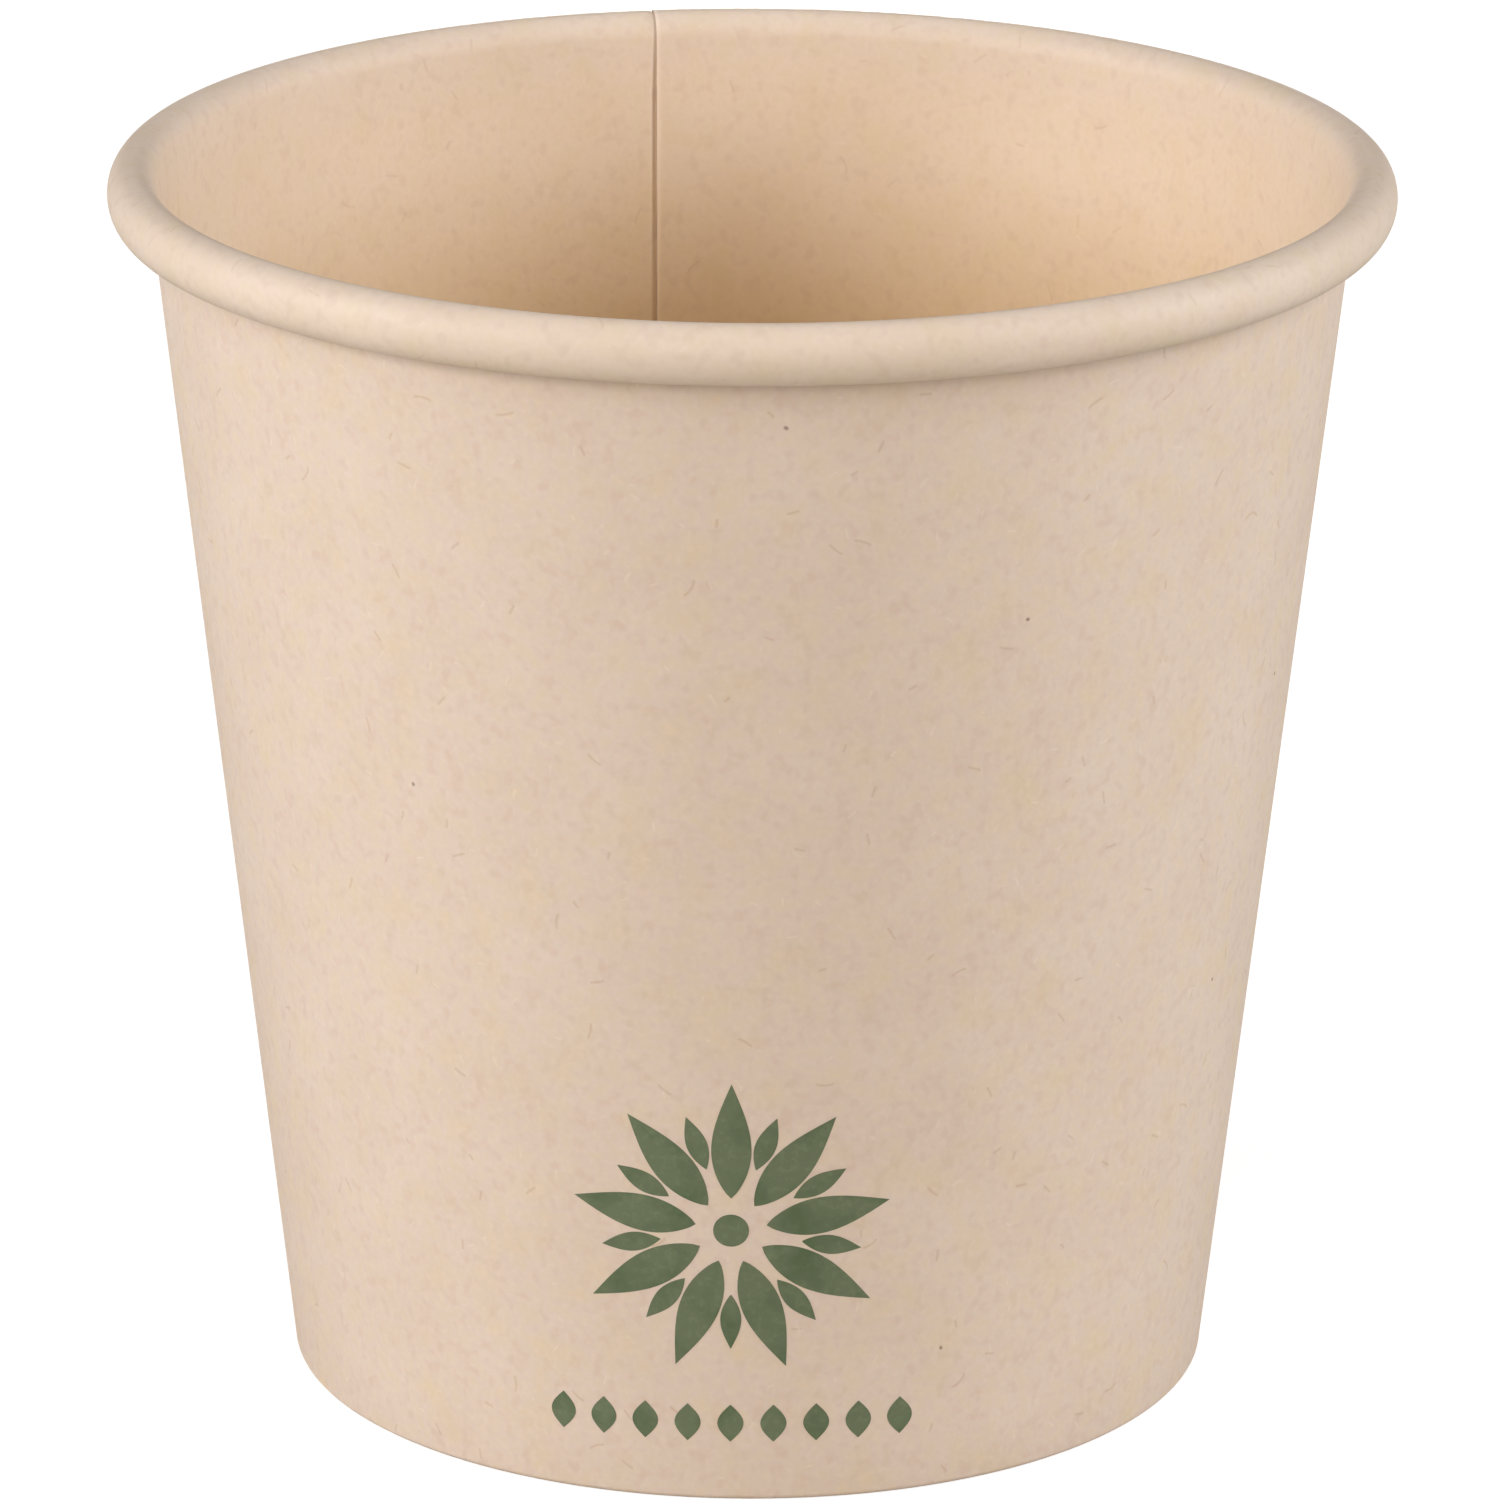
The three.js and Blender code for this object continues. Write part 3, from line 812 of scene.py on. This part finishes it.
# Soft boxes round the cup: bearing and height in degrees, power in watts, size in metres. The one behind is
# kept below the rim, so that it lights the back of the wall alone.
lampRig = {"size": 0.3, "distance": 0.8}
lamps = {
    "leftLamp": {"bearing": 200, "height": 21, "power": 2.92, "tone": "#FFFFFF"},
    "leftHighLamp": {"bearing": 190, "height": 42, "power": 1.1, "tone": "#FFFFFF"},
    "rightLamp": {"bearing": -18, "height": 20, "power": 2.3, "tone": "#FFFFFF"},
    "rightHighLamp": {"bearing": 0, "height": 33, "power": 1.85, "tone": "#FFFFFF"},
    "frontLamp": {"bearing": -97, "height": 20, "power": 1.3, "tone": "#FFF2E4"},
    "frontLeftLamp": {"bearing": -135, "height": 24, "power": 0.66, "tone": "#FFF8F0"},
    "backLamp": {"bearing": 90, "height": 0, "power": 2.4, "tone": "#FFFFFF", "size": 0.06},
}


def makeLamps():
    aim = Vector((0, 0, cup["height"] / 2 * mm))
    for name, lamp in lamps.items():
        light = bpy.data.lights.new(name, "AREA")
        light.size = lamp.get("size", lampRig["size"])
        light.energy = lamp["power"]
        light.color = linear(lamp["tone"])[:3]
        holder = bpy.data.objects.new(name, light)
        bearing = math.radians(lamp["bearing"])
        height = math.radians(lamp["height"])
        level = math.cos(height)
        way = Vector((math.cos(bearing) * level, math.sin(bearing) * level, math.sin(height)))
        holder.location = aim + way * lampRig["distance"]
        holder.rotation_euler = (-way).to_track_quat("-Z", "Y").to_euler()
        bpy.context.scene.collection.objects.link(holder)


# The photograph's view, in mm, degrees and pixels of an image of 1500 by 1500
view = {
    "distance": 480.0,
    "elevation": 18.156,
    "aimHeight": 30.0,
    "focal": 9788.3,  # pixels
    "across": 1500,  # pixels
    "drop": 7.62,  # shift of the picture, in pixels
    "roll": 0.242,
    "sensor": 36.0,
    "clip": (10.0, 20000.0),  # nearest and farthest that it sees
}


def makeCamera():
    data = bpy.data.cameras.new("camera")
    data.sensor_width = view["sensor"]
    data.lens = view["focal"] / view["across"] * data.sensor_width
    data.shift_y = view["drop"] / view["across"]
    data.clip_start, data.clip_end = [length * mm for length in view["clip"]]
    camera = bpy.data.objects.new("camera", data)
    lift = math.radians(view["elevation"])
    back = Vector((0, -math.cos(lift), math.sin(lift)))
    camera.location = Vector((0, 0, view["aimHeight"] * mm)) + back * view["distance"] * mm
    roll = Matrix.Rotation(math.radians(view["roll"]), 3, "Z")
    camera.rotation_euler = ((-back).to_track_quat("-Z", "Y").to_matrix() @ roll).to_euler()
    bpy.context.scene.collection.objects.link(camera)
    bpy.context.scene.camera = camera


makeTable()
makeWorld()
makeLamps()
makeCamera()
bpy.context.scene.view_settings.view_transform = "Standard"
print("stage: table, light and camera ready")
